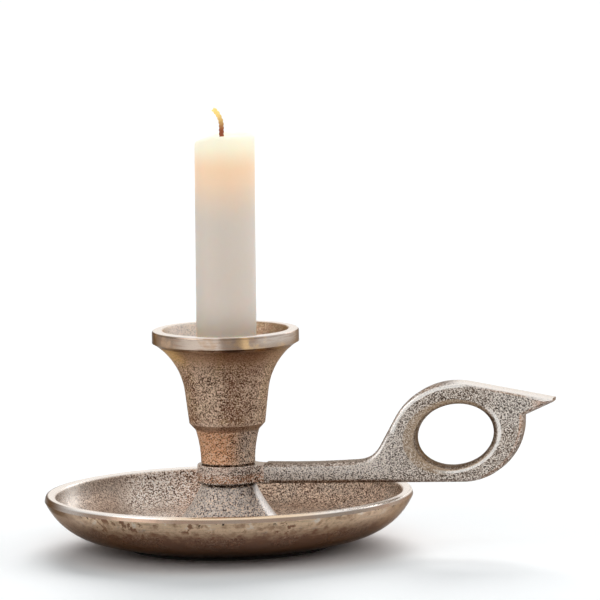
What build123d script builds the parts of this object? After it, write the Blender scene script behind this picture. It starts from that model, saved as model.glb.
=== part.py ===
"""Chamberstick with a finger loop.

Millimetres, +Z up. The origin is on the stem axis at table height, and the handle reaches along +X.
"""

import os
from math import cos, hypot, radians, sin, sqrt, tan

from build123d import *

# Clearances
spigot_clearance = 0.05
thread_clearance = 0.05
screw_clearance = 0.3
candle_clearance = 0.4
wick_clearance = 0.05
washer_clearance = 0.2

# Base felt
felt_thickness = 1.2
felt_margin = 1.5

# Drip dish
dish_diameter = 134.5
dish_height = 18.8
dish_wall = 3.4
rim_width = 3.8
rim_land = 2.0
rim_draft = 14.5
rim_outer_radius = 0.9
rim_inner_radius = 1.6
bowl_wall_run = 17.25
bowl_start_rise = 2.7
underside_width = 11.5
floor_slope = 0.6

# Pedestal in the middle of the dish
pedestal_height = 22.2
pedestal_top_diameter = 19.2
pedestal_foot_diameter = 45.0
pedestal_top_angle = 24.0
pedestal_root_radius = 5.0
pedestal_web = 6.0
cavity_mouth_diameter = 38.0
cavity_head_room = 2.0
spigot_diameter = 14.0
spigot_gap = 0.4

# Clamp screw and washers
screw_diameter = 6.0
screw_head_diameter = 12.0
screw_head_height = 4.0
screw_head_radius = 2.4
screw_point = 0.8
screw_engagement = 8.8
screw_runout = 2.0
recess_width = 1.3
recess_span = 6.0
recess_depth = 2.2
flat_washer_diameter = 12.0
flat_washer_thickness = 1.6
spring_washer_diameter = 11.4
spring_washer_thickness = 1.6
spring_washer_split = 1.2
spring_washer_split_angle = 20.0

# Collar of the handle
collar_diameter = 22.6
collar_height = 6.8
collar_edge = 0.5
collar_root_radius = 8.0
collar_root_margin = 1.0
spot_face_diameter = 29.2

# Arm, finger loop and tail
handle_thickness = 8.0
handle_edge = 1.7
arm_root_height = 7.4
arm_lift = 1.3
arm_level_reach = 20.0
arm_rise = 1.7
arm_bend_radius = 11.0
arm_rise_angle = 61.0
hole_reach = 84.9
hole_length = 29.2
hole_width = 22.2
hole_tilt = 14.7
hole_edge = 2.2
loop_floor_wall = 5.7
loop_top_wall = 8.2
loop_end_wall = 11.1
loop_corner_radius = 23.0
crown_radius = 26.2
crown_shift = 1.0
tail_slope = 9.9
tail_under_angle = 25.0
tail_notch_gap = 1.4
tail_trim = 2.1

# Candle cup
neck_diameter = 19.7
neck_foot_chamfer = 0.6
neck_height = 12.6
neck_top_diameter = 23.2
step_height = 2.5
socket_wall = 2.45
socket_floor_rise = 0.9
socket_depth = 14.0
body_height = 11.7
body_flare = 1.4
flare_height = 17.3
flare_gap = 1.2
cup_rim_diameter = 53.6
cup_rim_chamfer = 0.7
cup_rim_height = 4.6
cup_rim_wall = 3.9
cup_rim_edge = 1.0
mouth_lip_drop = 4.5
mouth_lip_step = 2.3

# Candle and wick
candle_diameter = 22.0
candle_length = 104.4
candle_lean = 0.7
candle_bottom_chamfer = 0.8
candle_top_edge = 1.0
melt_pool_depth = 0.8
melt_pool_margin = 1.8
burn_slope = 20.0
burn_drop = 2.8
wick_diameter = 1.9
wick_offset = 1.1
wick_straight = 3.6
wick_bend_radius = 8.0
wick_bend_angle = 52.0

# Heights along the stem
foot_z = felt_thickness
rim_z = foot_z + dish_height
shoulder_z = foot_z + pedestal_height
web_z = shoulder_z - pedestal_web
collar_top_z = shoulder_z + collar_height
step_z = collar_top_z + neck_height
body_z = step_z + step_height
socket_floor_z = body_z + socket_floor_rise
flare_z = body_z + body_height
flare_top_z = flare_z + flare_height
rim_band_z = flare_top_z + cup_rim_chamfer
cup_top_z = rim_band_z + cup_rim_height
candle_top_z = socket_floor_z + candle_length
washer_z = web_z - flat_washer_thickness
head_z = washer_z - spring_washer_thickness
screw_tip_z = collar_top_z + screw_engagement

# Radii that two pieces share
dish_radius = dish_diameter / 2
foot_radius = dish_radius - bowl_wall_run - underside_width
screw_radius = screw_diameter / 2
spigot_radius = spigot_diameter / 2
candle_radius = candle_diameter / 2
socket_radius = candle_radius + candle_clearance
wick_radius = wick_diameter / 2


STANDING = (Align.CENTER, Align.CENTER, Align.MIN)


def turned(section):
    """Solid of revolution about the stem from a flat section of (radius, height)."""
    return revolve(Plane.XZ * section, Axis.Z)


def standing_cylinder(radius, bottom_z, height, x=0.0):
    """Upright cylinder that stands at a height."""
    return Pos(x, 0, bottom_z) * Cylinder(radius, height, align=STANDING)


def ring(outer_radius, inner_radius, bottom_z, height):
    """Flat ring round the stem."""
    disc = standing_cylinder(outer_radius, bottom_z, height)
    return disc - standing_cylinder(inner_radius, bottom_z, height)


def corner_nearest(sketch, x, y):
    """Corner of a flat sketch that lies nearest to a point."""
    return sketch.vertices().sort_by_distance((x, y, 0))[0]


def make_drip_dish():
    """Dish with rolled rim, hollow pedestal and the spigot that centres the collar."""
    bowl_start = (dish_radius - bowl_wall_run, foot_z + bowl_start_rise)
    rim_edge = (dish_radius, rim_z - rim_land)
    rim_corner = (dish_radius - rim_land * tan(radians(rim_draft)), rim_z)
    rim_inside = (dish_radius - rim_width, rim_z)
    underside_run = (underside_width, bowl_start_rise)
    inner_start = (bowl_start[0], bowl_start[1] + dish_wall)
    floor_edge = (pedestal_foot_diameter / 2, inner_start[1] - bowl_start_rise + floor_slope)
    floor_run = (inner_start[0] - floor_edge[0], inner_start[1] - floor_edge[1])
    pedestal_top = (pedestal_top_diameter / 2, shoulder_z)
    pedestal_run = (sin(radians(pedestal_top_angle)), -cos(radians(pedestal_top_angle)))
    hole_radius = screw_radius + screw_clearance
    spigot_z = collar_top_z - spigot_gap
    cavity_radius = flat_washer_diameter / 2 + cavity_head_room
    cavity_mouth = (cavity_mouth_diameter / 2, foot_z)
    outline = Curve() + [
        Line(cavity_mouth, (foot_radius, foot_z)),
        Line((foot_radius, foot_z), bowl_start),
        TangentArc(bowl_start, rim_edge, tangent=underside_run),
        Polyline(rim_edge, rim_corner, rim_inside),
        TangentArc(inner_start, rim_inside, tangent=floor_run),
        Line(inner_start, floor_edge),
        TangentArc(pedestal_top, floor_edge, tangent=pedestal_run),
        Polyline(
            pedestal_top,
            (spigot_radius, shoulder_z),
            (spigot_radius, spigot_z),
            (hole_radius, spigot_z),
            (hole_radius, web_z),
            (cavity_radius, web_z),
            cavity_mouth,
        ),
    ]
    section = make_face(outline)
    section = fillet(corner_nearest(section, *rim_corner), rim_outer_radius)
    section = fillet(corner_nearest(section, *rim_inside), rim_inner_radius)
    section = fillet(corner_nearest(section, *floor_edge), pedestal_root_radius)
    return turned(section)


def make_collar():
    """Ring round the spigot that runs into the arm with a fillet on each side."""
    ring_radius = collar_diameter / 2
    half_arm = handle_thickness / 2
    root_reach = sqrt((ring_radius + collar_root_radius) ** 2 - (half_arm + collar_root_radius) ** 2)
    arm_reach = root_reach + collar_root_margin
    arm = Pos(arm_reach / 2, 0) * Rectangle(arm_reach, handle_thickness)
    plan = Circle(ring_radius) + arm
    join_x = sqrt(ring_radius**2 - half_arm**2)
    plan = fillet(corner_nearest(plan, join_x, half_arm), collar_root_radius)
    plan = fillet(corner_nearest(plan, join_x, -half_arm), collar_root_radius)
    collar = extrude(Pos(0, 0, shoulder_z) * plan, collar_height)
    rims = collar.edges().filter_by_position(Axis.Z, collar_top_z, collar_top_z)
    rims += collar.edges().filter_by_position(Axis.Z, shoulder_z, shoulder_z)
    return fillet(rims, collar_edge)


def hole_half_extents():
    """Half the reach and half the height of the tilted finger hole."""
    along = hole_length / 2
    across = hole_width / 2
    turn = radians(hole_tilt)
    return hypot(along * cos(turn), across * sin(turn)), hypot(along * sin(turn), across * cos(turn))


def make_arm_and_loop():
    """Flat bar with rounded edges that rises into the finger loop and ends in the tail."""
    half_reach, half_height = hole_half_extents()
    loop_floor_z = shoulder_z + arm_lift
    hole_z = loop_floor_z + loop_floor_wall + half_height
    slope = radians(tail_slope)
    rise = radians(arm_rise_angle)
    root_x = (collar_diameter + spigot_diameter) / 4
    root_top_z = shoulder_z + arm_root_height
    end_x = hole_reach + half_reach + loop_end_wall
    corner_x = end_x - loop_corner_radius
    corner_z = loop_floor_z + loop_corner_radius
    notch = (end_x, corner_z + tail_notch_gap)
    crown_z = hole_z + half_height + loop_top_wall - crown_radius
    crown_x = hole_reach + crown_shift
    crown_end = (crown_x + crown_radius * sin(slope), crown_z + crown_radius * cos(slope))
    crown_start = (crown_x - crown_radius * sin(rise), crown_z + crown_radius * cos(rise))
    # Tail tip where its upper and lower edges meet
    tail_run = crown_end[1] - notch[1] + tan(slope) * crown_end[0]
    tail_under = tan(radians(tail_under_angle))
    tip_x = (tail_run + tail_under * notch[0]) / (tan(slope) + tail_under)
    tip = (tip_x, crown_end[1] - tan(slope) * (tip_x - crown_end[0]))
    # Foot of the rising edge on the arm
    bend_z = root_top_z + arm_rise
    bend = (crown_start[0] - (crown_start[1] - bend_z) / tan(rise), bend_z)
    level_end = (arm_level_reach, root_top_z)
    outline = Curve() + [
        Polyline(level_end, (root_x, root_top_z), (root_x, shoulder_z), (level_end[0], shoulder_z)),
        Line((level_end[0], shoulder_z), (corner_x, loop_floor_z)),
        TangentArc((corner_x, loop_floor_z), (end_x, corner_z), tangent=(1, 0)),
        Polyline((end_x, corner_z), notch, tip, crown_end),
        TangentArc(crown_end, crown_start, tangent=(-cos(slope), sin(slope))),
        Line(crown_start, bend),
        TangentArc(level_end, bend, tangent=(1, 0)),
    ]
    plate = make_face(outline)
    plate = fillet(corner_nearest(plate, *bend), arm_bend_radius)
    plate -= Pos(hole_reach, hole_z) * Rot(0, 0, hole_tilt) * Ellipse(hole_length / 2, hole_width / 2)
    bar = extrude(Plane.XZ * plate, handle_thickness / 2, both=True)
    bar = fillet(bar.edges().filter_by(GeomType.ELLIPSE), hole_edge)
    sides = bar.faces().filter_by(Axis.Y).sort_by(Axis.Y)
    bar = fillet(sides[0].outer_wire().edges() + sides[-1].outer_wire().edges(), handle_edge)
    tip_end = Box(2 * tail_trim, 2 * handle_thickness, 2 * crown_radius)
    return bar - Pos(tip_x, 0, tip[1]) * tip_end


def make_handle():
    """Collar, arm, finger loop and tail as one casting."""
    spot_face = standing_cylinder(spot_face_diameter / 2, collar_top_z, collar_height)
    casting = make_collar() + (make_arm_and_loop() - spot_face)
    return casting - standing_cylinder(spigot_radius + spigot_clearance, shoulder_z, collar_height)


def make_candle_cup():
    """Cup with solid threaded neck, stepped body, flared mouth and rim band."""
    neck_radius = neck_diameter / 2
    neck_top = (neck_top_diameter / 2, step_z)
    body_radius = socket_radius + socket_wall
    flare_start = (body_radius + body_flare, flare_z)
    flare_run = (body_flare, body_height)
    rim_radius = cup_rim_diameter / 2
    flare_end = (rim_radius - flare_gap, flare_top_z)
    mouth_radius = rim_radius - cup_rim_wall
    mouth_lip = (mouth_radius - mouth_lip_step, cup_top_z - mouth_lip_drop)
    socket_top = (socket_radius, socket_floor_z + socket_depth)
    thread_radius = screw_radius + thread_clearance
    thread_top_z = screw_tip_z + screw_runout
    neck_foot_z = collar_top_z + neck_foot_chamfer
    outline = Curve() + [
        Polyline(
            (0, thread_top_z),
            (thread_radius, thread_top_z),
            (thread_radius, collar_top_z),
            (neck_radius - neck_foot_chamfer, collar_top_z),
            (neck_radius, neck_foot_z),
        ),
        TangentArc((neck_radius, neck_foot_z), neck_top, tangent=(0, 1)),
        Polyline(neck_top, (body_radius, body_z), flare_start),
        TangentArc(flare_start, flare_end, tangent=flare_run),
        Polyline(
            flare_end,
            (rim_radius, rim_band_z),
            (rim_radius, cup_top_z),
            (mouth_radius, cup_top_z),
            mouth_lip,
        ),
        TangentArc(socket_top, mouth_lip, tangent=(0, 1)),
        Polyline(socket_top, (socket_radius, socket_floor_z), (0, socket_floor_z), (0, thread_top_z)),
    ]
    section = make_face(outline)
    section = fillet(corner_nearest(section, rim_radius, cup_top_z), cup_rim_edge)
    section = fillet(corner_nearest(section, mouth_radius, cup_top_z), cup_rim_edge)
    return turned(section)


def make_clamp_screw():
    """Pan head screw, head down inside the pedestal, with a cross recess."""
    head_radius = screw_head_diameter / 2
    head_bottom_z = head_z - screw_head_height
    outline = Polyline(
        (0, head_bottom_z),
        (head_radius, head_bottom_z),
        (head_radius, head_z),
        (screw_radius, head_z),
        (screw_radius, screw_tip_z - screw_point),
        (screw_radius - screw_point, screw_tip_z),
        (0, screw_tip_z),
        close=True,
    )
    section = make_face(outline)
    section = fillet(corner_nearest(section, head_radius, head_bottom_z), screw_head_radius)
    screw = turned(section)
    slot = Box(recess_span, recess_width, 2 * recess_depth)
    cross = slot + Rot(0, 0, 90) * slot
    return screw - Pos(0, 0, head_bottom_z) * cross


def make_flat_washer():
    """Plain washer against the pedestal's web."""
    return ring(flat_washer_diameter / 2, screw_radius + washer_clearance, washer_z, flat_washer_thickness)


def make_spring_washer():
    """Split lock washer, drawn flat under the screw head."""
    outer_radius = spring_washer_diameter / 2
    washer = ring(outer_radius, screw_radius + washer_clearance, head_z, spring_washer_thickness)
    split = Box(outer_radius, spring_washer_split, 3 * spring_washer_thickness)
    middle = (outer_radius + screw_radius) / 2
    place = Pos(middle, 0, head_z + spring_washer_thickness / 2) * Rot(spring_washer_split_angle, 0, 0)
    return washer - place * split


def make_base_felt():
    """Felt disc under the foot."""
    return extrude(Circle(foot_radius - felt_margin), felt_thickness)


def leaning(upright):
    """Candle or wick as it stands: leaning in the socket's clearance, on the edge of its bottom face."""
    turn = Pos(0, 0, socket_floor_z) * Rot(0, candle_lean, 0) * Pos(0, 0, -socket_floor_z)
    edge_drop = (candle_radius - candle_bottom_chamfer) * sin(radians(candle_lean))
    return Pos(0, 0, edge_drop) * turn * upright


def make_candle():
    """Dinner candle with a shallow melt pool, burnt lower on the side where its wick lies off centre."""
    pool_radius = candle_radius - melt_pool_margin
    pool_floor = (0, candle_top_z - melt_pool_depth)
    outline = Curve() + [
        Polyline(
            pool_floor,
            (0, socket_floor_z),
            (candle_radius - candle_bottom_chamfer, socket_floor_z),
            (candle_radius, socket_floor_z + candle_bottom_chamfer),
            (candle_radius, candle_top_z),
            (pool_radius, candle_top_z),
        ),
        TangentArc(pool_floor, (pool_radius, candle_top_z), tangent=(1, 0)),
    ]
    section = make_face(outline)
    section = fillet(corner_nearest(section, candle_radius, candle_top_z), candle_top_edge)
    candle = turned(section)
    burnt = Box(4 * candle_radius, 4 * candle_radius, candle_radius, align=STANDING)
    candle -= Pos(-candle_radius, 0, candle_top_z - burn_drop) * Rot(0, -burn_slope, 0) * burnt
    wick_bore = standing_cylinder(wick_radius + wick_clearance, socket_floor_z, candle_length, -wick_offset)
    return leaning(candle - wick_bore)


def make_wick():
    """Wick through the whole candle, its burnt end bent away from the handle."""
    bend_z = candle_top_z - melt_pool_depth + wick_straight
    turn = radians(wick_bend_angle)
    tip_x = -wick_offset - wick_bend_radius * (1 - cos(turn))
    path = Curve() + [
        Line((-wick_offset, 0, socket_floor_z), (-wick_offset, 0, bend_z)),
        TangentArc(
            (-wick_offset, 0, bend_z),
            (tip_x, 0, bend_z + wick_bend_radius * sin(turn)),
            tangent=(0, 0, 1),
        ),
    ]
    section = Pos(-wick_offset, 0, socket_floor_z) * Circle(wick_radius)
    return leaning(sweep(section, path=path))


pieces = {
    "drip_dish": make_drip_dish,
    "handle": make_handle,
    "candle_cup": make_candle_cup,
    "clamp_screw": make_clamp_screw,
    "flat_washer": make_flat_washer,
    "spring_washer": make_spring_washer,
    "base_felt": make_base_felt,
    "candle": make_candle,
    "wick": make_wick,
}

os.makedirs("parts", exist_ok=True)
for name, make_piece in pieces.items():
    export_step(make_piece(), f"parts/{name}.step")
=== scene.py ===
"""Looks of the chamberstick with a finger loop.

Metres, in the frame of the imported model: +Z up, the stem on the Z axis, the handle along +X.
Compass angles round the stem run from +X towards +Y, in degrees.
"""

from math import cos, exp, hypot, log, pi, radians, sin, tan

import bmesh
import bpy
from mathutils import Matrix, Vector, noise


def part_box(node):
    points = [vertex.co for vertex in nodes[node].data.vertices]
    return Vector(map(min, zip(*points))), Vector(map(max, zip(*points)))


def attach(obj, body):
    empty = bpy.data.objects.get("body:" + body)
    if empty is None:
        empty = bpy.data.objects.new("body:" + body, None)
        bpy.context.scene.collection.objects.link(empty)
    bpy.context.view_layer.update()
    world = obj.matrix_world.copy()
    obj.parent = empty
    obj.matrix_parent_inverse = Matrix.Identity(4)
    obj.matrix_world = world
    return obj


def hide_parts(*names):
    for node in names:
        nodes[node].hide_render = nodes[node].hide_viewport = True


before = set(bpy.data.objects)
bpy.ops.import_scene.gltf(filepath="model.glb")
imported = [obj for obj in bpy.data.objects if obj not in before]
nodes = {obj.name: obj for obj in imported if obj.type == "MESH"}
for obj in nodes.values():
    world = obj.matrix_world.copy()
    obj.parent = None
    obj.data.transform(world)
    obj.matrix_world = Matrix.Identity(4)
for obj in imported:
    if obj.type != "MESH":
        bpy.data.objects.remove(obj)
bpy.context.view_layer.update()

MM = 0.001

# Heights and radii that the finishes follow, read from the frame
dish_low, dish_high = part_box("drip_dish")
cup_low, cup_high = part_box("candle_cup")
dish_radius = dish_high.x
foot_z = dish_low.z
collar_top_z = cup_low.z
cup_top_z = cup_high.z
shoulder_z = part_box("handle")[0].z
socket_floor_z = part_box("candle")[0].z
wick_top_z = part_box("wick")[1].z

# Sizes that the finishes follow, as in the solids
dish_rim_z = foot_z + 18.8 * MM
dish_rim_width = 3.8 * MM
pedestal_radius = 22.5 * MM
cup_band_height = 5.3 * MM
neck_height = 12.6 * MM
collar_reach = 14.2 * MM
hole_reach = 84.9 * MM
hole_z = 41.75 * MM
hole_half_length = 14.6 * MM
hole_half_width = 11.1 * MM
hole_tilt = radians(14.7)

# Candle and wick, as in the solids
candle_radius = 11.0 * MM
candle_length = 104.4 * MM
candle_lean = radians(0.7)
candle_chamfer = 0.8 * MM
melt_pool_depth = 0.8 * MM
melt_pool_margin = 1.8 * MM
burn_slope = radians(20.0)
burn_drop = 2.8 * MM
wick_radius = 0.95 * MM
wick_offset = 1.1 * MM
wick_straight = 3.6 * MM
wick_bend_radius = 8.0 * MM
wick_bend_angle = radians(52.0)
candle_top_z = socket_floor_z + candle_length

# Compass angles of the painted reflections, highlight and shade round the dish
left_end_angle = 193.0
right_end_angle = 13.0
flank_highlight_angle = -4.0
rim_reflection_angle = -72.0

# Compass angles of the tints round the cup, most of them painted light, shade and reflections
copper_angle = -112.0
painted_light_angle = -105.0
shade_angle = -57.0
lit_right_angle = -20.0
gold_reflection_angle = -150.0
lit_inside_angle = 150.0

# Compass angles of the tints round the cup's rim band, most of them painted reflections and a painted
# highlight
band_front_angle = -93.0
band_back_angle = 80.0
band_handle_angle = 0.0
band_highlight_angle = -25.0
band_end_angle = -168.0
band_dark_reflection_angle = -72.5
band_gold_reflection_angle = -50.0

# Camera of the photograph
camera_azimuth = 13.0
camera_elevation = 6.74
camera_roll = radians(-1.2)
camera_distance = 2.5
aim_right = 27.4 * MM
aim_height = 89.52 * MM
lens_mm = 412.5
sensor_mm = 36.0


def compass(angle):
    """Level direction at a compass angle."""
    return (cos(radians(angle)), sin(radians(angle)), 0.0)


class Tree:
    """Node tree with short calls for the nodes that it needs."""

    def __init__(self, tree):
        self.tree = tree
        self.tree.nodes.clear()
        self.coordinates = self.add("ShaderNodeTexCoord")

    def add(self, kind, inputs=None, **settings):
        """One node with its settings, and with its inputs set or linked."""
        node = self.tree.nodes.new(kind)
        for key, value in settings.items():
            setattr(node, key, value)
        for key, value in (inputs or {}).items():
            self.feed(node.inputs[key], value)
        return node

    def feed(self, socket, value):
        """Link an output to a socket, or set the socket's own value."""
        if isinstance(value, bpy.types.NodeSocket):
            self.tree.links.new(value, socket)
        elif socket.type == "RGBA" and len(value) == 3:
            socket.default_value = (*value, 1.0)
        else:
            socket.default_value = value

    def math(self, operation, first, second=0.0, clamp=False):
        """One operation on two values."""
        node = self.add("ShaderNodeMath", {0: first, 1: second}, operation=operation, use_clamp=clamp)
        return node.outputs[0]

    def plus(self, first, second):
        return self.math("ADD", first, second)

    def minus(self, first, second):
        return self.math("SUBTRACT", first, second)

    def product(self, first, *others):
        for other in others:
            first = self.math("MULTIPLY", first, other)
        return first

    def most(self, first, *others):
        """Largest of several values."""
        for other in others:
            first = self.math("MAXIMUM", first, other)
        return first

    def inverse(self, value):
        """What is left of 1."""
        return self.math("SUBTRACT", 1.0, value, clamp=True)

    def step(self, value, start, end, kind="SMOOTHSTEP"):
        """Smooth rise from 0 at start to 1 at end, or a fall where start is the larger."""
        low, high = min(start, end), max(start, end)
        lowest, highest = (0.0, 1.0) if start < end else (1.0, 0.0)
        node = self.add(
            "ShaderNodeMapRange",
            {"Value": value, "From Min": low, "From Max": high, "To Min": lowest, "To Max": highest},
            interpolation_type=kind,
        )
        return node.outputs["Result"]

    def zone(self, value, start, full, fade, end):
        """Smooth rise from 0 at start to 1 at full, and a fall from 1 at fade to 0 at end."""
        return self.product(self.step(value, start, full), self.step(value, end, fade))

    def ramp(self, value, start, end):
        """Even rise from 0 at start to 1 at end, or a fall where start is the larger."""
        return self.step(value, start, end, "LINEAR")

    def scale(self, value, low, high):
        """Stretch a share of 0 to 1 to a range."""
        node = self.add("ShaderNodeMapRange", {"Value": value, "To Min": low, "To Max": high})
        return node.outputs["Result"]

    def mix(self, share, first, second):
        """Colour between two colours."""
        node = self.add("ShaderNodeMix", data_type="RGBA", clamp_factor=True)
        self.feed(node.inputs[0], share)
        self.feed(node.inputs[6], first)
        self.feed(node.inputs[7], second)
        return node.outputs[2]

    def coat(self, base, colour, *shares):
        """Base colour under a coat of another, as strong as the product of the shares."""
        return self.mix(self.product(*shares), base, colour)


class Shader(Tree):
    """Node tree of one material, with the places and directions that its patterns follow."""

    def __init__(self, name):
        self.material = bpy.data.materials.new(name)
        self.material.use_nodes = True
        super().__init__(self.material.node_tree)
        self.place = self.coordinates.outputs["Object"]
        self.normal = self.coordinates.outputs["Normal"]
        self.x, self.y, self.z = self.add("ShaderNodeSeparateXYZ", {"Vector": self.place}).outputs
        facing = self.add("ShaderNodeSeparateXYZ", {"Vector": self.normal})
        self.normal_y = facing.outputs["Y"]
        self.normal_z = facing.outputs["Z"]

    def noise(self, size, detail=2.0, roughness=0.5, vector=None, distortion=0.0, seed=0.0):
        """Cloudy noise with features of about that size in metres, from 0 to 1."""
        node = self.add(
            "ShaderNodeTexNoise",
            {
                "Vector": vector or self.place,
                "W": seed,
                "Scale": 1.0 / size,
                "Detail": detail,
                "Roughness": roughness,
                "Distortion": distortion,
            },
            noise_dimensions="4D",
        )
        return node.outputs["Fac"]

    def sand(self, size):
        """Grains of about that size in metres, each with its own value from 0 to 1."""
        node = self.add("ShaderNodeTexVoronoi", {"Vector": self.place, "Scale": 1.0 / size})
        return self.add("ShaderNodeSeparateColor", {"Color": node.outputs["Color"]}).outputs["Red"]

    def flat_place(self):
        """Place seen from above."""
        return self.add("ShaderNodeCombineXYZ", {"X": self.x, "Y": self.y}).outputs[0]

    def length(self, vector):
        """Length of a vector."""
        return self.add("ShaderNodeVectorMath", {0: vector}, operation="LENGTH").outputs["Value"]

    def radius(self):
        """Distance from the stem."""
        return self.length(self.flat_place())

    def part(self, vector, direction):
        """Part of a vector along a direction."""
        node = self.add("ShaderNodeVectorMath", {0: vector, 1: direction}, operation="DOT_PRODUCT")
        return node.outputs["Value"]

    def from_stem(self):
        """Level direction away from the stem."""
        return self.add("ShaderNodeVectorMath", {0: self.flat_place()}, operation="NORMALIZE").outputs[0]

    def side(self, angle):
        """How far a place round the stem lies towards a compass angle, from -1 to 1."""
        return self.part(self.from_stem(), compass(angle))

    def around(self, along, across):
        """Coordinates drawn out round the stem, for turned and brushed surfaces."""
        drawn = self.add("ShaderNodeVectorMath", {0: self.from_stem(), "Scale": along}, operation="SCALE")
        lifted = self.product(self.plus(self.z, self.radius()), across)
        rise = self.add("ShaderNodeCombineXYZ", {"Z": lifted})
        inputs = {0: drawn.outputs[0], 1: rise.outputs[0]}
        return self.add("ShaderNodeVectorMath", inputs, operation="ADD").outputs[0]

    def bump(self, height, depth, normal=None):
        """Normal of a surface whose relief is height times depth metres."""
        inputs = {"Height": height, "Distance": depth, "Strength": 1.0}
        if normal is not None:
            inputs["Normal"] = normal
        return self.add("ShaderNodeBump", inputs).outputs["Normal"]

    def finish(self, inputs):
        """Close the material with one Principled shader."""
        shader = self.add("ShaderNodeBsdfPrincipled", inputs)
        self.add("ShaderNodeOutputMaterial", {"Surface": shader.outputs[0]})
        return self.material


# Colours of the cast metal, with some that are painted light, shade and reflections
pale_silver = (0.92, 0.84, 0.76)
bright_silver = (0.94, 0.89, 0.84)
arm_silver = (0.91, 0.835, 0.775)
silver = (0.62, 0.505, 0.42)
dull_silver = (0.40, 0.300, 0.230)
bowl_silver = (0.44, 0.355, 0.29)
bowl_painted_light = (0.84, 0.68, 0.56)
left_shade_grey = (0.20, 0.165, 0.145)
dim_reflection_silver = (0.30, 0.22, 0.165)
highlight_blue_silver = (0.70, 0.71, 0.73)
warm_light = (0.82, 0.62, 0.465)
worn_and_lit_beige = (0.80, 0.59, 0.405)
rosy_bronze = (0.48, 0.335, 0.25)
pale_bronze = (0.54, 0.36, 0.235)
red_bronze = (0.30, 0.142, 0.082)
olive_gold = (0.48, 0.335, 0.165)
olive_brown = (0.37, 0.26, 0.165)
edge_bronze = (0.44, 0.27, 0.165)
top_grey = (0.36, 0.295, 0.245)
dull_bronze = (0.29, 0.155, 0.10)
end_bronze = (0.43, 0.365, 0.33)
dark_bronze = (0.13, 0.080, 0.055)
lip_brown = (0.105, 0.068, 0.045)
copper = (0.84, 0.42, 0.225)
bright_copper = (0.96, 0.50, 0.27)
peach = (0.92, 0.64, 0.48)
gold = (0.80, 0.52, 0.24)
cone_grey = (0.63, 0.575, 0.535)
foot_reflection_brown = (0.30, 0.21, 0.175)
red_pits = (0.070, 0.032, 0.020)
grey_pits = (0.080, 0.060, 0.046)
# Dark of the painted shade in the joints, and of the real dings under the dish's rim
shade_and_ding_dark = (0.018, 0.012, 0.010)
edge_tint = (0.38, 0.315, 0.265)

# Colours of the wax and the wick, with their painted light and their painted glow
ivory = (0.79, 0.715, 0.635)
deep_ivory = (0.75, 0.675, 0.595)
lit_pale_ivory = (0.90, 0.85, 0.775)
flame_lit_peach_wax = (0.80, 0.64, 0.475)
flame_lit_yellow_wax = (0.82, 0.78, 0.63)
peach_glow = (0.27, 0.16, 0.075)
yellow_glow = (0.25, 0.24, 0.19)
no_glow = (0.0, 0.0, 0.0)
char_red = (0.22, 0.06, 0.03)
char_brown = (0.25, 0.10, 0.04)
char_glow = (0.12, 0.03, 0.015)
tip_glow_gold = (0.80, 0.60, 0.24)
tip_glow = (0.55, 0.42, 0.13)

# Colours of the steel, the felt, the paper and the light from above
zinc_grey = (0.50, 0.51, 0.53)
zinc_light = (0.70, 0.70, 0.69)
felt_dark = (0.028, 0.025, 0.022)
felt_light = (0.09, 0.08, 0.07)
paper_shade = (0.97, 0.97, 0.97)
white = (1.0, 1.0, 1.0)
cool_white = (0.94, 1.0, 1.03)

# Sizes of the casting skin
dish_grain = 0.54 * MM
cup_grain = 0.46 * MM
handle_grain = 0.44 * MM
pit_depth = 0.12 * MM
cloud_size = 13.0 * MM
tint_size = 8.0 * MM
mottle_size = 2.8 * MM
ding_size = 1.8 * MM
wave_size = 9.0 * MM
wave_depth = 0.25 * MM
wear_depth = 11.0 * MM

# Sizes of the other skins
steel_line_depth = 0.02 * MM
felt_fibre = 0.5 * MM
felt_depth = 0.3 * MM
wax_cloud_size = 12.0 * MM
wax_cloud_depth = 0.25 * MM
wax_grain = 0.8 * MM
wax_grain_depth = 0.02 * MM
wax_light_reach = (12.0 * MM, 9.0 * MM, 7.0 * MM)
cotton_fibre = 0.35 * MM
cotton_depth = 0.1 * MM
paper_fibre = 2.0 * MM

# Finishes of the dish, with its painted shade and reflections: where each starts and where it is full
dish_rim_start = dish_radius - dish_rim_width
rim_radii = (dish_rim_start - 0.4 * MM, dish_rim_start + 0.6 * MM)
rim_heights = (dish_rim_z - 1.0 * MM, dish_rim_z - 0.5 * MM)
outer_edge_radii = (dish_radius - 1.5 * MM, dish_radius - 0.8 * MM)
pedestal_radii = (pedestal_radius + 2.0 * MM, pedestal_radius - 1.0 * MM)
dish_seam_shade_heights = (shoulder_z - 1.4 * MM, shoulder_z - 0.5 * MM)
scar_heights = (foot_z + 4.0 * MM, foot_z + 9.0 * MM)
foot_reflection_heights = (foot_z, dish_rim_z - 5.0 * MM)
wear_and_light_heights = (dish_rim_z - 9.5 * MM, dish_rim_z - 4.5 * MM)
ding_heights = (dish_rim_z - 4.0 * MM, dish_rim_z - 2.0 * MM)

# Painted highlight, shade and light in the bowl, by distance to the left of the stem: start and full, or
# start, full, fade and end
left_highlight_reach = (48.0 * MM, 60.0 * MM)
left_shade_reach = (32.0 * MM, 42.0 * MM, 53.0 * MM, 58.0 * MM)
near_stem_reach = (2.0 * MM, 16.0 * MM, 34.0 * MM, 44.0 * MM)
closest_reach = (26.0 * MM, 12.0 * MM)
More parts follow.
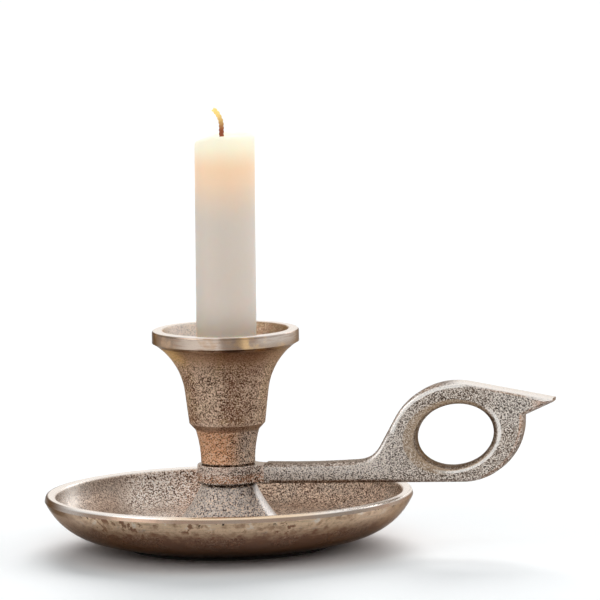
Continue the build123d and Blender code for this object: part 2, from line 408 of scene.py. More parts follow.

# Finishes of the cup, with its painted light, shade and highlights, by height
band_z = cup_top_z - cup_band_height
neck_top_z = collar_top_z + neck_height
band_heights = (band_z - 0.9 * MM, band_z - 0.3 * MM)
band_shade_heights = (band_z - 2.4 * MM, band_z - 1.0 * MM)
under_band_heights = (band_z - 10.0 * MM, band_z - 3.0 * MM)
upper_highlight_heights = (band_z + 1.0 * MM, band_z + 3.6 * MM)
lower_shade_heights = (band_z + 1.8 * MM, band_z + 0.2 * MM)
neck_heights = (neck_top_z + 1.5 * MM, neck_top_z - 0.5 * MM)
ledge_heights = (neck_top_z - 0.6 * MM, neck_top_z + 0.4 * MM, neck_top_z + 2.5 * MM, neck_top_z + 4.5 * MM)
low_body_heights = (neck_top_z + 7.0 * MM, neck_top_z + 3.0 * MM)
cup_seam_shade_heights = (collar_top_z + 1.0 * MM, collar_top_z + 0.4 * MM)

# Finishes of the handle, with its painted light, shade and highlights, by height and by distance from the
# stem
collar_ends = (collar_reach + 0.4 * MM, collar_reach - 0.4 * MM)
low_collar_heights = (shoulder_z + 5.5 * MM, shoulder_z + 2.5 * MM)
handle_seam_shade_heights = (shoulder_z + 1.0 * MM, shoulder_z + 0.3 * MM)
shaded_low_edge_heights = (shoulder_z + 2.2 * MM, shoulder_z + 0.6 * MM)
lit_high_face_heights = (shoulder_z + 3.4 * MM, shoulder_z + 5.2 * MM)
tail_heights = (hole_z, hole_z + 8.0 * MM)
loop_reach = (45.0 * MM, 78.0 * MM)
bend_reach = (50.0 * MM, 58.0 * MM)
tail_top_highlight_reach = (80.0 * MM, 88.0 * MM)
right_reach = (92.0 * MM, 104.0 * MM)
tail_reach = (95.0 * MM, 104.0 * MM)
tail_tip_reach = (112.0 * MM, 117.0 * MM)

# Painted light and painted glow of the wax, by depth below the candle's top, and of the wick, by height
lit_low_wax_depths = (50.0 * MM, 76.0 * MM)
flame_warmth_depths = (34.0 * MM, 8.0 * MM)
flame_heat_depths = (13.0 * MM, 2.0 * MM)
glow_heights = (candle_top_z + 1.0 * MM, wick_top_z - 1.0 * MM)


def cast_skin(shader, amount, base, light, dark, size):
    """Colour, roughness and relief of the casting skin: dark pits and bright grains, by amount."""
    marks = shader.noise(size, detail=2.0, roughness=0.6)
    sand = shader.product(shader.minus(shader.sand(size), 0.5), 0.2)
    tone = shader.plus(marks, sand)
    pits = shader.product(shader.ramp(tone, 0.50, 0.37), amount)
    grains = shader.product(shader.ramp(tone, 0.50, 0.65), amount)
    colour = shader.coat(base, light, grains)
    colour = shader.coat(colour, dark, pits)
    roughness = shader.plus(shader.scale(amount, 0.24, 0.36), shader.product(pits, 0.2))
    relief = shader.product(shader.step(marks, 0.38, 0.62), amount)
    return colour, roughness, relief


def close_metal(shader, colour, roughness, relief, bright):
    """Metal with a casting's slow waves under its fine relief, dimmer edge on except where bright is 1."""
    waves = shader.bump(shader.noise(wave_size), wave_depth)
    return shader.finish(
        {
            "Base Color": colour,
            "Metallic": 1.0,
            "Roughness": roughness,
            "Normal": shader.bump(relief, pit_depth, waves),
            "Specular Tint": shader.mix(bright, edge_tint, bright_silver),
        }
    )


def dish_underside(shader, clouds):
    """Colour of the dish's outside: brown below, beige under the rim that is part wear and part painted
    light, a paler greyish brown at the foot and tints at the left and right end that are painted
    reflections, with scuffs, chips and dings.
    """
    streaks = shader.noise(1.0, detail=4.0, roughness=0.65, vector=shader.around(7.0, 1500.0))
    scuffs = shader.noise(1.0, detail=4.0, roughness=0.65, vector=shader.around(11.0, 200.0), seed=3.0)
    mottle = shader.noise(mottle_size, detail=3.0, roughness=0.6, seed=9.0)
    uneven = shader.product(shader.minus(shader.plus(scuffs, mottle), 1.0), wear_depth)
    worn_and_lit = shader.step(shader.plus(shader.z, uneven), *wear_and_light_heights)
    height = shader.step(shader.z, *foot_reflection_heights)
    chips = shader.product(shader.step(mottle, 0.54, 0.58), shader.step(clouds, 0.50, 0.60), height)
    rubs = shader.product(shader.step(scuffs, 0.47, 0.38), shader.step(mottle, 0.52, 0.44), worn_and_lit)
    left_end = shader.step(shader.side(left_end_angle), 0.65, 0.93)
    right_end = shader.step(shader.side(right_end_angle), 0.55, 0.90)
    under_rim = shader.step(shader.z, *ding_heights)
    dings = shader.step(shader.noise(ding_size, detail=1.0, seed=8.0), 0.35, 0.30)

    # Painted reflection: a paler greyish brown at the foot, where the dish reflects its shadow, turning to
    # bronze higher up
    colour = shader.mix(height, foot_reflection_brown, dull_bronze)
    # Beige under the rim: wear, and painted light
    colour = shader.coat(colour, worn_and_lit_beige, worn_and_lit)
    colour = shader.coat(colour, red_bronze, shader.step(mottle, 0.48, 0.68), height, 0.6)
    colour = shader.coat(colour, dull_bronze, chips, 0.95)
    colour = shader.coat(colour, dull_bronze, shader.step(scuffs, 0.50, 0.66), height, 0.6)
    colour = shader.coat(colour, pale_silver, rubs, 0.75)
    colour = shader.coat(colour, dark_bronze, shader.step(streaks, 0.48, 0.72), height, 0.4)
    # Painted reflections: tints at the dish's left and right end
    ends = shader.most(shader.product(left_end, 0.7), shader.product(right_end, 0.45))
    colour = shader.coat(colour, end_bronze, ends)
    return shader.coat(colour, shade_and_ding_dark, dings, under_rim)


def drip_dish_material():
    """Pitted bowl with a painted highlight at its left end and painted shade beyond it, paler painted light
    near the stem, grey pedestal with a painted highlight on its right, polished rim with a painted gold
    reflection at the front, a painted dark reflection on its outer left edge, painted shade under the
    collar, and a darker underside.
    """
    shader = Shader("cast_dish")
    radius = shader.radius()
    leftward = shader.part(shader.place, compass(left_end_angle))
    clouds = shader.noise(cloud_size, detail=3.0)
    inside = shader.step(shader.normal_z, -0.05, 0.15)
    edge = shader.step(radius, *rim_radii)
    rim = shader.product(edge, shader.step(shader.z, *rim_heights))
    # Painted reflection: the outer edge darkened at the dish's left end
    dark_edge_reflection = shader.step(radius, *outer_edge_radii)
    dark_edge_reflection = shader.product(dark_edge_reflection, shader.step(shader.side(left_end_angle), 0.80, 0.97))
    pedestal = shader.product(inside, shader.step(radius, *pedestal_radii))
    # Painted highlight: a bluish silver streak down the right side of the pedestal
    flank_highlight = shader.product(pedestal, shader.step(shader.side(flank_highlight_angle), 0.93, 0.98))
    # Painted shade: a dark line where the pedestal meets the collar
    seam_shade = shader.step(shader.z, *dish_seam_shade_heights)
    # Painted highlight: bright silver inside the bowl towards its left end
    left_highlight = shader.product(inside, shader.step(leftward, *left_highlight_reach))
    # Painted shade: the bowl darkened beyond its left highlight
    left_shade = shader.product(inside, shader.zone(leftward, *left_shade_reach))
    near_stem = shader.product(inside, shader.zone(leftward, *near_stem_reach))
    near_stem = shader.product(near_stem, shader.inverse(pedestal), shader.inverse(edge))
    closest = shader.step(leftward, *closest_reach)

    smooth = shader.most(
        shader.product(left_highlight, 0.8),
        shader.product(flank_highlight, 0.7),
        shader.product(pedestal, 0.25),
        shader.product(left_shade, 0.4),
    )
    scars = shader.product(shader.step(clouds, 0.36, 0.56), shader.step(shader.z, *scar_heights))
    pitted = shader.most(inside, shader.product(scars, 0.25))
    amount = shader.product(pitted, shader.inverse(edge), shader.inverse(smooth))
    amount = shader.product(amount, shader.scale(clouds, 1.0, 1.4))

    bowl = shader.mix(shader.step(clouds, 0.38, 0.62), bowl_silver, rosy_bronze)
    # Painted light: the bowl paler near the stem, more peach closest to it
    bowl = shader.coat(bowl, shader.mix(closest, bowl_painted_light, peach), near_stem)
    # Painted highlight at the bowl's left end
    bowl = shader.coat(bowl, bright_silver, left_highlight, 0.8)
    bowl = shader.coat(bowl, cone_grey, pedestal, 0.9)
    bowl = shader.coat(bowl, highlight_blue_silver, flank_highlight, 0.6)
    # Painted reflection: gold on the rim where it faces the front
    rim_gold_reflection = shader.product(shader.step(shader.side(rim_reflection_angle), 0.85, 0.98), 0.6)
    base = shader.mix(inside, dish_underside(shader, clouds), bowl)
    base = shader.coat(base, shader.mix(rim_gold_reflection, bright_silver, gold), rim)
    base = shader.coat(base, dark_bronze, dark_edge_reflection, 0.9)
    base = shader.coat(base, shade_and_ding_dark, seam_shade)
    light = shader.mix(near_stem, warm_light, bright_silver)
    colour, roughness, relief = cast_skin(shader, amount, base, light, red_pits, dish_grain)
    # Painted shade inside the bowl's left part
    colour = shader.coat(colour, left_shade_grey, left_shade, shader.inverse(edge), 0.3)
    level = shader.product(shader.step(shader.normal_z, 0.15, 0.6), shader.inverse(dark_edge_reflection))
    return close_metal(shader, colour, roughness, relief, level)


def polished_band(shader, rim_top):
    """Colour of the cup's rim band, mostly painted reflections: silver at front and back, a dark patch at
    the front and at the left end, gold, paler mottling, a painted highlight along the top at the right and
    painted shade along the foot, with brushed lines.
    """
    reflection_patches = shader.noise(1.0, detail=3.0, roughness=0.55, vector=shader.around(4.0, 150.0), seed=1.0)
    lines = shader.noise(1.0, detail=3.0, roughness=0.6, vector=shader.around(3.0, 1100.0))
    wander = shader.product(shader.minus(reflection_patches, 0.5), 0.05)
    front_reflection = shader.step(shader.plus(shader.side(band_front_angle), wander), 0.86, 0.998)
    back_reflection = shader.product(shader.step(shader.side(band_back_angle), 0.60, 0.99), 0.8)
    handle_side = shader.step(shader.side(band_handle_angle), 0.35, 0.70)
    lit_right_side = shader.step(shader.side(band_highlight_angle), 0.86, 0.97)
    dark_end_reflection = shader.step(shader.side(band_end_angle), 0.90, 0.99)
    dark_reflection = shader.plus(shader.side(band_dark_reflection_angle), shader.product(wander, 0.4))
    dark_reflection = shader.step(dark_reflection, 0.980, 0.998)
    band_gold_reflection = shader.step(shader.side(band_gold_reflection_angle), 0.88, 0.98)
    band_gold_reflection = shader.product(band_gold_reflection, shader.step(reflection_patches, 0.42, 0.54))
    # Painted highlight along the band's top and painted shade along its foot
    upper_highlight = shader.step(shader.z, *upper_highlight_heights)
    lower_shade = shader.step(shader.z, *lower_shade_heights)

    # Painted reflections: silver at the band's front and back, dimmer silver between
    colour = shader.mix(shader.most(front_reflection, back_reflection), dim_reflection_silver, silver)
    colour = shader.coat(colour, silver, handle_side, 0.3)
    # Painted reflections: paler bronze mottling
    colour = shader.coat(colour, pale_bronze, shader.step(reflection_patches, 0.48, 0.60), 0.6)
    # Painted reflection: gold on the band's front right
    colour = shader.coat(colour, gold, band_gold_reflection, 0.6)
    # Painted highlight along the band's upper right
    colour = shader.coat(colour, bright_silver, upper_highlight, lit_right_side, 0.25)
    # Painted shade along the band's lower edge
    colour = shader.coat(colour, olive_brown, lower_shade, shader.step(reflection_patches, 0.40, 0.55), 0.5)
    # Painted reflection: a dark patch at the band's front
    colour = shader.coat(colour, dark_bronze, dark_reflection, 0.65)
    # Painted reflection: the band darkened at its left end
    colour = shader.coat(colour, dark_bronze, dark_end_reflection, 0.75)
    colour = shader.coat(colour, dull_bronze, shader.step(lines, 0.50, 0.66), 0.4)
    return shader.coat(colour, bright_silver, rim_top)


def candle_cup_material():
    """Pitted cup body with painted light at its left, its right and inside its mouth, painted shade down
    its middle, a painted shade line and a painted gold reflection under the band and painted shade at its
    foot, a copper neck and a polished rim band.
    """
    shader = Shader("cast_cup")
    clouds = shader.noise(cloud_size, detail=3.0, seed=2.0)
    tints = shader.noise(tint_size, detail=3.0, seed=4.0)
    outside = shader.step(shader.part(shader.normal, shader.from_stem()), -0.45, -0.2)
    rim_top = shader.step(shader.normal_z, 0.6, 0.9)
    band = shader.product(shader.step(shader.z, *band_heights), outside)
    band_shade_line = shader.step(shader.z, *band_shade_heights)
    under_band = shader.step(shader.z, *under_band_heights)
    neck = shader.step(shader.z, *neck_heights)
    # Painted shade: a dark line where the cup's foot meets the collar
    seam_shade = shader.step(shader.z, *cup_seam_shade_heights)
    ledge = shader.zone(shader.z, *ledge_heights)
    low_body = shader.product(shader.step(shader.z, *low_body_heights), shader.inverse(neck))
    copper_side = shader.step(shader.side(copper_angle), 0.3, 0.95)
    copper_part = shader.product(neck, copper_side)
    painted_light_side = shader.step(shader.side(painted_light_angle), 0.92, 0.995)
    shade_side = shader.step(shader.side(shade_angle), 0.90, 0.99)
    lit_right_side = shader.step(shader.side(lit_right_angle), 0.80, 0.98)
    gold_reflection_side = shader.step(shader.side(gold_reflection_angle), 0.80, 0.97)
    lit_inside = shader.step(shader.side(lit_inside_angle), 0.3, 0.9)
    lit_inside = shader.product(shader.inverse(outside), lit_inside)
    shaded_body = shader.product(shade_side, shader.inverse(band), shader.inverse(neck), outside)

    smooth = shader.most(
        shader.product(under_band, 0.7),
        shader.product(ledge, 0.5),
        shader.product(copper_part, 0.3),
        shader.product(low_body, 0.4),
    )
    amount = shader.product(shader.inverse(band), shader.inverse(smooth), shader.scale(clouds, 0.9, 1.9))

    base = shader.mix(shader.step(clouds, 0.36, 0.62), red_bronze, pale_bronze)
    base = shader.coat(base, olive_gold, shader.step(tints, 0.48, 0.62), 0.6)
    # Painted light on the cup's left front
    base = shader.coat(base, warm_light, painted_light_side, 0.55)
    # Painted shade down the middle of the cup
    base = shader.coat(base, red_bronze, shade_side, 0.35)
    # Painted light on the cup's right
    base = shader.coat(base, warm_light, lit_right_side, 0.35)
    base = shader.coat(base, pale_bronze, under_band, 0.35)
    base = shader.coat(base, silver, shader.inverse(copper_side), neck, 0.95)
    base = shader.coat(base, bright_copper, copper_part, shader.step(clouds, 0.20, 0.50))
    base = shader.coat(base, silver, ledge, 0.3)
    # Painted shade: a dark line under the band
    base = shader.coat(base, dark_bronze, band_shade_line, 0.2)
    # Painted reflection: gold under the band on the cup's left
    base = shader.coat(base, gold, under_band, gold_reflection_side)
    # Painted light inside the cup's mouth at the back left
    base = shader.coat(base, bright_silver, lit_inside, 0.6)
    base = shader.coat(base, polished_band(shader, rim_top), band)
    base = shader.coat(base, shade_and_ding_dark, seam_shade)
    colour, roughness, relief = cast_skin(shader, amount, base, warm_light, red_pits, cup_grain)
    # Painted shade down the middle of the cup's body
    colour = shader.coat(colour, red_bronze, shaded_body, 0.15)
    return close_metal(shader, colour, roughness, relief, rim_top)


def hole_distance(shader):
    """Distance from the finger hole's middle, 1 on its edge, and its parts along and across the hole."""
    middle = Vector((hole_reach, 0.0, hole_z))
    length_way = Vector((cos(hole_tilt), 0.0, sin(hole_tilt))) / hole_half_length
    width_way = Vector((-sin(hole_tilt), 0.0, cos(hole_tilt))) / hole_half_width
    along = shader.minus(shader.part(shader.place, length_way), middle.dot(length_way))
    across = shader.minus(shader.part(shader.place, width_way), middle.dot(width_way))
    offset = shader.add("ShaderNodeCombineXYZ", {"X": along, "Y": across}).outputs[0]
    return shader.length(offset), along, across


def handle_material():
    """Silvery pitted faces, copper collar, painted highlights on the edges at the loop's upper left, the
    hole's lower right and the tail's top, painted light on the arm's upper face, and painted shade on its
    lower edge, on edges that face down and under the collar.
    """
    shader = Shader("cast_handle")
    clouds = shader.noise(cloud_size, detail=3.0, seed=5.0)
    tints = shader.noise(tint_size, detail=3.0, seed=6.0)
    flatness = shader.math("ABSOLUTE", shader.normal_y)
    face = shader.step(flatness, 0.93, 0.995)
    shoulder = shader.zone(flatness, 0.62, 0.86, 0.985, 0.9995)
    upward = shader.step(shader.normal_z, 0.15, 0.55)
    shaded_downward = shader.step(shader.normal_z, -0.1, -0.4)
    lower_right = shader.step(shader.part(shader.normal, (0.7, 0.0, -0.7)), 0.05, 0.22)
    upper_left = shader.step(shader.part(shader.normal, (-0.7, 0.0, 0.7)), 0.03, 0.15)

    # Parts along the handle, from the collar to the tail, with painted light and shade on them
    collar = shader.step(shader.x, *collar_ends)
    low_collar = shader.step(shader.z, *low_collar_heights)
    machined = shader.product(shader.step(shader.normal_z, 0.8, 0.95), collar)
    # Painted shade: a dark line along the foot of the collar
    seam_shade = shader.product(shader.step(shader.z, *handle_seam_shade_heights), collar)
    loop = shader.step(shader.x, *loop_reach)
    arm = shader.inverse(loop)
    shaded_low_edge = shader.product(shader.step(shader.z, *shaded_low_edge_heights), face)
    lit_high_face = shader.product(shader.step(shader.z, *lit_high_face_heights), face, arm)
    right_part = shader.step(shader.x, *right_reach)
    tail = shader.product(shader.step(shader.x, *tail_reach), shader.step(shader.z, *tail_heights))
    tail_tip = shader.step(shader.x, *tail_tip_reach)

    # Edges round the finger hole, with painted highlights on their crests
    distance, along, across = hole_distance(shader)
    downhill = shader.minus(along, across)
    low_side = shader.step(downhill, 0.0, 1.0)
    high_side = shader.step(downhill, -0.4, -1.2)
    # Painted highlight along the tail's top
    tail_top_highlight = shader.product(shader.step(shader.x, *tail_top_highlight_reach), shader.step(distance, 1.25, 1.35))
    tail_top_highlight = shader.product(tail_top_highlight, shader.step(shader.normal_z, 0.35, 0.75))
    bevel = shader.step(shader.plus(distance, shader.product(along, 0.09)), 1.22, 1.18)
    lip = shader.step(shader.minus(distance, shader.product(low_side, 0.07)), 1.06, 1.02)
    # Painted highlights on the crests beside the hole and along the loop's outer edge
    hole_crest_highlight = shader.product(low_side, shader.zone(distance, 1.12, 1.15, 1.21, 1.24))
    outer_crest_highlight = shader.product(high_side, shader.zone(distance, 1.52, 1.56, 1.65, 1.68))
    outer_crest_highlight = shader.product(outer_crest_highlight, shader.step(across, 0.3, 0.7))
    # Painted highlight on the upper left of the loop's bend
    bend = shader.product(shader.step(shader.x, *bend_reach), shader.step(across, 0.8, 0.3))
    bend = shader.product(bend, shoulder, upper_left, shader.step(distance, 1.3, 1.4))
    crest_highlight = shader.most(hole_crest_highlight, outer_crest_highlight, bend)

    smooth = shader.most(
        machined,
        shader.product(crest_highlight, 0.8),
        shader.product(bevel, 0.6),
        shader.product(tail_top_highlight, 0.85),
        shader.product(lit_high_face, 0.4),
    )
    coarse = shader.product(shader.scale(loop, 1.5, 1.6), shader.scale(clouds, 0.7, 1.3))
    amount = shader.product(shader.most(face, collar, 0.5), shader.inverse(smooth), coarse)

    edges = shader.mix(shader.step(clouds, 0.40, 0.60), end_bronze, edge_bronze)
    edges = shader.coat(edges, copper, lower_right, shoulder, right_part, 0.35)
    edges = shader.coat(edges, top_grey, upward, arm, 0.85)
    # Painted shade on the edges that face down
    edges = shader.coat(edges, dark_bronze, shaded_downward, 0.7)
    loop_face = shader.mix(shader.step(tints, 0.40, 0.60), dull_silver, silver)
    loop_face = shader.coat(loop_face, arm_silver, tail, 0.6)
    loop_face = shader.coat(loop_face, copper, tail_tip, 0.6)
    faces = shader.mix(loop, arm_silver, loop_face)
    # Painted light on the upper part of the arm's face
    faces = shader.coat(faces, bright_silver, lit_high_face, 0.6)
    # Painted shade along the lower edge of the arm's face
    faces = shader.coat(faces, olive_brown, shaded_low_edge, 0.6)
    base = shader.mix(face, edges, faces)
    base = shader.coat(base, olive_brown, bevel, 0.85)
    # Painted highlights on the crests
    base = shader.coat(base, bright_silver, crest_highlight)
    base = shader.coat(base, lip_brown, lip, 0.85)
    # Painted highlight on the tail's top
    base = shader.coat(base, bright_silver, tail_top_highlight)
    base = shader.coat(base, arm_silver, collar)
    base = shader.coat(base, copper, collar, shader.most(low_collar, 0.4))
    base = shader.coat(base, bright_silver, machined)
    base = shader.coat(base, shade_and_ding_dark, seam_shade)
    colour, roughness, relief = cast_skin(shader, amount, base, pale_silver, grey_pits, handle_grain)
    return close_metal(shader, colour, roughness, relief, tail_top_highlight)


def steel_material():
    """Zinc plated steel of the hidden screw and washers."""
    shader = Shader("zinc_plated_steel")
    streaks = shader.noise(1.0, detail=3.0, vector=shader.around(3.0, 2500.0))
    return shader.finish(
        {
            "Base Color": shader.mix(streaks, zinc_grey, zinc_light),
            "Metallic": 1.0,
            "Roughness": shader.scale(streaks, 0.28, 0.45),
            "Normal": shader.bump(streaks, steel_line_depth),
        }
    )


def felt_material():
    """Dark pressed felt."""
    shader = Shader("pressed_felt")
    fibres = shader.noise(felt_fibre, detail=4.0, roughness=0.7, distortion=1.5)
    return shader.finish(
        {
            "Base Color": shader.mix(fibres, felt_dark, felt_light),
            "Roughness": 0.95,
            "Normal": shader.bump(fibres, felt_depth),
            "Sheen Weight": 0.4,
            "Sheen Roughness": 0.5,
        }
    )


def wax_material():
    """Ivory wax with painted light: paler low down, and peach and pale yellow towards its burning top,
    where it has a painted glow.
    """
    shader = Shader("ivory_wax")
    clouds = shader.noise(wax_cloud_size, detail=3.0)
    grain = shader.noise(wax_grain)
    depth = shader.minus(candle_top_z, shader.z)
    lit_low_part = shader.step(depth, *lit_low_wax_depths)
    flame_warmth = shader.step(depth, *flame_warmth_depths)
    flame_heat = shader.step(depth, *flame_heat_depths)
    colour = shader.mix(shader.scale(clouds, 0.0, 0.6), ivory, deep_ivory)
    # Painted light: the wax paler low down, where the cup shades it
    colour = shader.coat(colour, lit_pale_ivory, lit_low_part)
    # Painted light from the flame: peach and then pale yellow towards the top
    colour = shader.coat(colour, flame_lit_peach_wax, flame_warmth)
    colour = shader.coat(colour, flame_lit_yellow_wax, flame_heat)
    # Painted glow: peach and then pale yellow emission towards the top
    glow = shader.mix(flame_warmth, no_glow, peach_glow)
    glow = shader.coat(glow, yellow_glow, flame_heat)
    return shader.finish(
        {
            "Base Color": colour,
            "Roughness": shader.scale(clouds, 0.42, 0.58),
            "Normal": shader.bump(grain, wax_grain_depth, shader.bump(clouds, wax_cloud_depth)),
            "Subsurface Weight": 1.0,
            "Subsurface Radius": wax_light_reach,
            "Subsurface Scale": 1.0,
            "Emission Color": glow,
            "Emission Strength": 1.0,
        }
    )


def wick_material():
    """Braided cotton, charred red brown below and gold at its tip, with a painted glow from dull red to
    gold.
    """
    shader = Shader("burnt_wick")
    rise = shader.step(shader.z, *glow_heights)
    fibres = shader.noise(cotton_fibre)
    # Gold towards the tip is the colour of the painted glow
    colour = shader.mix(rise, char_red, tip_glow_gold)
    return shader.finish(
        {
            "Base Color": shader.coat(colour, char_brown, fibres, 0.5),
            "Roughness": 0.85,
            "Normal": shader.bump(fibres, cotton_depth),
            # Painted glow: dull red below, gold at the tip
            "Emission Color": shader.mix(rise, char_glow, tip_glow),
            "Emission Strength": 1.0,
        }
    )


def floor_material():
    """Plain matt white paper."""
    shader = Shader("white_paper")
    colour = shader.mix(shader.noise(paper_fibre), paper_shade, white)
    return shader.finish({"Base Color": colour, "Roughness": 1.0, "Specular IOR Level": 0.0})


def dress(node, material):
    """Give a node of the frame its material."""
    mesh = nodes[node].data
    mesh.materials.clear()
    mesh.materials.append(material)


def closed_tubes(name, tubes, material):
    """Smooth closed mesh, where each tube is a row of rings of points, capped at both ends."""
    form = bmesh.new()
    for rings in tubes:
        loops = [[form.verts.new(point) for point in ring] for ring in rings]
        for lower, upper in zip(loops, loops[1:]):
            for here in range(len(lower)):
                after = (here + 1) % len(lower)
                form.faces.new((lower[here], lower[after], upper[after], upper[here]))
        form.faces.new(reversed(loops[0]))
        form.faces.new(loops[-1])
    for face in form.faces:
        face.smooth = True
    mesh = bpy.data.meshes.new(name)
    form.to_mesh(mesh)
    form.free()
    mesh.materials.append(material)
    piece = bpy.data.objects.new(name, mesh)
    bpy.context.scene.collection.objects.link(piece)
    return piece


def lean_matrix():
    """From the upright candle to the one that leans in its socket on the edge of its bottom face."""
    floor = Vector((0.0, 0.0, socket_floor_z))
    edge_drop = (candle_radius - candle_chamfer) * sin(candle_lean)
    turn = Matrix.Translation(floor) @ Matrix.Rotation(candle_lean, 4, "Y") @ Matrix.Translation(-floor)
    return Matrix.Translation((0.0, 0.0, edge_drop)) @ turn


def burnt_top(x, y):
    """Height of the candle's top: a shallow pool, melted away towards -X."""
    blend = 0.5 * MM
    ripple_height = 0.15 * MM
    ripple_size = 4.0 * MM
    share = min(1.0, hypot(x, y) / (candle_radius - melt_pool_margin))
    pool = -melt_pool_depth * (1 - share**2)
    slope = (x + candle_radius) * tan(burn_slope) - burn_drop
    lower = -blend * log(exp(-pool / blend) + exp(-slope / blend))
    ripple = ripple_height * noise.noise(Vector((x, y, 0.0)) / ripple_size)
    return candle_top_z + lower + ripple


def make_candle():
    """Candle with a softly melted top edge and the slight unevenness of dipped wax."""
    sides = 96
    edge = 1.2 * MM
    side_rings = 44
    edge_rings = 6
    top_rings = 12
    inner = 0.3 * MM
    skin = 0.06 * MM
    wave_turn = 1.3
    wave_height = 2.5 * candle_radius
    rings = []

    def ring(radius, height, uneven=0.0):
        points = []
        for number in range(sides):
            angle = 2 * pi * number / sides
            x, y = cos(angle), sin(angle)
            level = height(radius * x, radius * y)
            place = Vector((x, y, level / wave_height))
            reach = radius + uneven * noise.noise(place * wave_turn)
            points.append((reach * x, reach * y, level))
        rings.append(points)

    def bottom(x, y):
        return socket_floor_z

    ring(inner, bottom)
    ring(candle_radius - candle_chamfer, bottom)
    wall_start = socket_floor_z + candle_chamfer
    for number in range(side_rings + 1):
        share = number / side_rings

        def wall(x, y, share=share):
            return wall_start + share * (burnt_top(x, y) - edge - wall_start)

        ring(candle_radius - skin, wall, skin)
    for number in range(1, edge_rings + 1):
        turn = pi / 2 * number / edge_rings

        def shoulder(x, y, turn=turn):
            return burnt_top(x, y) - edge * (1 - sin(turn))

        ring(candle_radius - edge * (1 - cos(turn)) - skin, shoulder)
    for number in range(1, top_rings + 1):
        share = number / top_rings
        ring((1 - share) * (candle_radius - edge) + share * inner, burnt_top)

    candle = closed_tubes("candle_wax", [rings], wax_material())
    candle.data.transform(lean_matrix())
    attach(candle, "candle")
    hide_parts("candle")


def make_wick():
    """Wick of three twisted strands through the candle, loosened at its burnt tip."""
    strands = 3
    sides = 10
    pitch = 4.2 * MM
    strand_radius = 0.52 * MM
    strand_offset = wick_radius - strand_radius
    spacing = 0.35 * MM
    loose_length = 2.5 * MM
    loose_taper = 0.45
    loose_spread = 0.3
    straight = candle_length - melt_pool_depth + wick_straight
    length = straight + wick_bend_radius * wick_bend_angle

    def centre(distance):
        bend = max(0.0, distance - straight) / wick_bend_radius
        x = -wick_offset - wick_bend_radius * (1 - cos(bend))
        z = socket_floor_z + min(distance, straight) + wick_bend_radius * sin(bend)
        return Vector((x, 0.0, z)), Vector((cos(bend), 0.0, sin(bend)))

    tubes = []
    steps = round(length / spacing)
    level = Vector((0.0, 1.0, 0.0))
    for strand in range(strands):
        rings = []
        for number in range(steps + 1):
            distance = length * number / steps
            middle, across = centre(distance)
            loose = max(0.0, 1 - (length - distance) / loose_length)
            thickness = strand_radius * (1 - loose_taper * loose**2)
            turn = 2 * pi * (strand / strands + distance / pitch)
            offset = strand_offset * (1 + loose_spread * loose)
            middle += offset * (across * cos(turn) + level * sin(turn))
            ring = []
            for side in range(sides):
                angle = 2 * pi * side / sides
                ring.append(middle + thickness * (across * cos(angle) + level * sin(angle)))
            rings.append(ring)
        tubes.append(rings)
    wick = closed_tubes("braided_wick", tubes, wick_material())
    wick.data.transform(lean_matrix())
    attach(wick, "candle")
    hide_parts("wick")


def make_floor():
    """Large pale floor that the felt stands on."""
    half = 4.0
    gap = 0.05 * MM
    mesh = bpy.data.meshes.new("floor")
    corners = [(-half, -half, 0), (half, -half, 0), (half, half, 0), (-half, half, 0)]
    mesh.from_pydata(corners, [], [(0, 1, 2, 3)])
    mesh.materials.append(floor_material())
    floor = bpy.data.objects.new("floor", mesh)
    floor.location.z = -gap
    bpy.context.scene.collection.objects.link(floor)


def towards(azimuth, elevation):
    """Direction from the part to a camera or lamp: azimuth 0 is the front, 90 is +X, in degrees."""
    turn, rise = radians(azimuth), radians(elevation)
    return Vector((sin(turn) * cos(rise), -cos(turn) * cos(rise), sin(rise)))


def make_camera():
    """Camera at the photograph's viewing angle."""
    back = towards(camera_azimuth, camera_elevation)
    right = Vector(compass(camera_azimuth))
    up = back.cross(right)
    rolled_right = right * cos(camera_roll) + up * sin(camera_roll)
    rolled_up = up * cos(camera_roll) - right * sin(camera_roll)
    aim = right * aim_right + Vector((0.0, 0.0, aim_height))
    camera_data = bpy.data.cameras.new("camera")
    camera_data.lens = lens_mm
    camera_data.sensor_width = sensor_mm
    camera_data.clip_end = 20.0
    camera = bpy.data.objects.new("camera", camera_data)
    turned = Matrix((rolled_right, rolled_up, back)).transposed()
    camera.matrix_world = Matrix.Translation(aim + back * camera_distance) @ turned.to_4x4()
    bpy.context.scene.collection.objects.link(camera)
    bpy.context.scene.camera = camera


def make_sun(name, azimuth, elevation, strength, spread):
    """Soft light from one direction, spread over an angle."""
    lamp = bpy.data.lights.new(name, "SUN")
    lamp.energy = strength
    lamp.angle = radians(spread)
    sun = bpy.data.objects.new(name, lamp)
    sun.rotation_mode = "QUATERNION"
    sun.rotation_quaternion = (-towards(azimuth, elevation)).to_track_quat("-Z", "Y")
    bpy.context.scene.collection.objects.link(sun)
    return sun


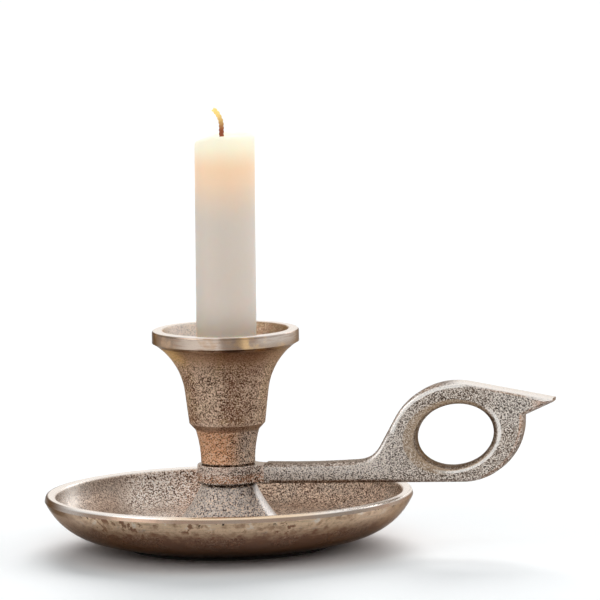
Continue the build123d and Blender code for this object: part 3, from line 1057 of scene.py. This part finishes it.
def make_lights():
    """Soft lights from behind, the front and the right, and two at the sides that draw highlights."""
    soft_lights = [
        make_sun("back_key", azimuth=188.0, elevation=31.0, strength=2.75, spread=36.0),
        make_sun("low_back", azimuth=193.0, elevation=16.0, strength=0.3, spread=20.0),
        make_sun("front_fill", azimuth=13.0, elevation=22.0, strength=0.52, spread=30.0),
        make_sun("right_fill", azimuth=105.0, elevation=25.0, strength=0.55, spread=30.0),
    ]
    for light in soft_lights:
        light.visible_glossy = False
    make_sun("left_light", azimuth=-50.0, elevation=28.0, strength=0.35, spread=36.0)
    make_sun("right_light", azimuth=150.0, elevation=26.0, strength=0.16, spread=20.0)


def make_world():
    """White surroundings, dim towards the front horizon, that add only a little soft light from above."""
    front_horizon = 0.52
    full_white = 1.0
    soft_light = 0.62
    world = bpy.data.worlds.new("studio")
    world.use_nodes = True
    sky = Tree(world.node_tree)
    axes = sky.add("ShaderNodeSeparateXYZ", {"Vector": sky.coordinates.outputs["Generated"]}).outputs
    overhead = sky.step(axes["Z"], sin(radians(5.0)), sin(radians(60.0)))
    above = sky.step(axes["Z"], sin(radians(25.0)), sin(radians(55.0)))
    behind = sky.step(axes["Y"], 0.1, 0.7)
    pale = sky.most(overhead, behind)
    rays = sky.add("ShaderNodeLightPath").outputs
    seen = sky.plus(rays["Is Camera Ray"], rays["Is Glossy Ray"])
    seen = sky.math("ADD", seen, rays["Is Transmission Ray"], clamp=True)
    shown = sky.product(sky.scale(pale, front_horizon, full_white), seen)
    strength = sky.plus(shown, sky.product(sky.inverse(seen), above, soft_light))
    colour = sky.mix(seen, cool_white, white)
    background = sky.add("ShaderNodeBackground", {"Color": colour, "Strength": strength})
    sky.add("ShaderNodeOutputWorld", {"Surface": background.outputs[0]})
    bpy.context.scene.world = world


dress("drip_dish", drip_dish_material())
dress("candle_cup", candle_cup_material())
dress("handle", handle_material())
dress("base_felt", felt_material())
steel = steel_material()
for hidden_node in ("clamp_screw", "flat_washer", "spring_washer"):
    dress(hidden_node, steel)
make_candle()
make_wick()

make_floor()
make_world()
make_lights()
make_camera()
bpy.context.scene.view_settings.view_transform = "Standard"
